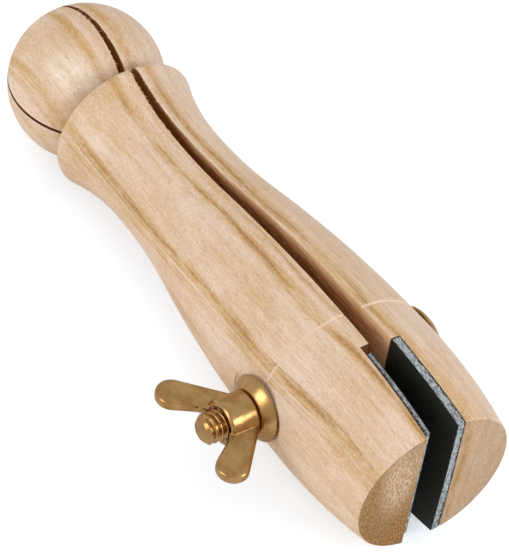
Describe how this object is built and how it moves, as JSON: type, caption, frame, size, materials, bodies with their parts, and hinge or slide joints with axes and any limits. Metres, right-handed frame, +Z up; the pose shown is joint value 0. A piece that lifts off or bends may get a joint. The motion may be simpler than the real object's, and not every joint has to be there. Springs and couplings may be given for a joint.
{
  "type": "ring clamp",
  "caption": "Turned wooden ring clamp with a ball end, two hinged halves, leather-lined jaws and a brass wing nut on a through bolt.",
  "frame": {"origin": "the ball's rounded end, on the turning axis", "axes": "+X along the handle towards the jaws, +Y towards the bolt's head, +Z up in the plane of the saw cut"},
  "size_m": [0.14, 0.0588, 0.0364],
  "materials": {
    "wood": "bare, finely sanded",
    "leather": "smooth grain face, fibrous cut edge",
    "steel": "plain",
    "brass": "satin, slightly aged"
  },
  "bodies": {
    "jaw_right": {"jaw_right": "wood", "pad_right": "leather", "hinge_pin_right": "steel", "bolt": "brass", "opening_spring": "steel"},
    "hinge_link": {"hinge_link": "steel"},
    "jaw_left": {"jaw_left": "wood", "pad_left": "leather", "hinge_pin_left": "steel"},
    "seat_washer": {"seat_washer": "brass"},
    "wing_nut": {"wing_nut": "brass"}
  },
  "joints": [
    {"name": "nut_travel", "type": "slide", "parent": "jaw_right", "child": "seat_washer", "axis": [0, -1, 0], "range_m": [-0.0041, 0.00357]},
    {"name": "nut_spin", "type": "hinge", "parent": "seat_washer", "child": "wing_nut", "pos_m": [0.108, -0.025, 0], "axis": [0, -1, 0], "range_deg": [-1162, 1012]},
    {"name": "link_swing", "type": "hinge", "parent": "jaw_right", "child": "hinge_link", "pos_m": [0.016, 0.006, 0], "axis": [0, 0, -1], "range_deg": [-1.24, 1.08]},
    {"name": "jaw_swing", "type": "hinge", "parent": "hinge_link", "child": "jaw_left", "pos_m": [0.016, -0.006, 0], "axis": [0, 0, -1], "range_deg": [-1.24, 1.08], "deforming": ["opening_spring"]}
  ],
  "couplings": [
    {"joint": "nut_travel", "follows": "nut_spin", "m_per_rad": 0.00020213},
    {"joint": "link_swing", "follows": "nut_spin", "ratio": 0.0010669},
    {"joint": "jaw_swing", "follows": "nut_spin", "ratio": 0.0010669}
  ]
}
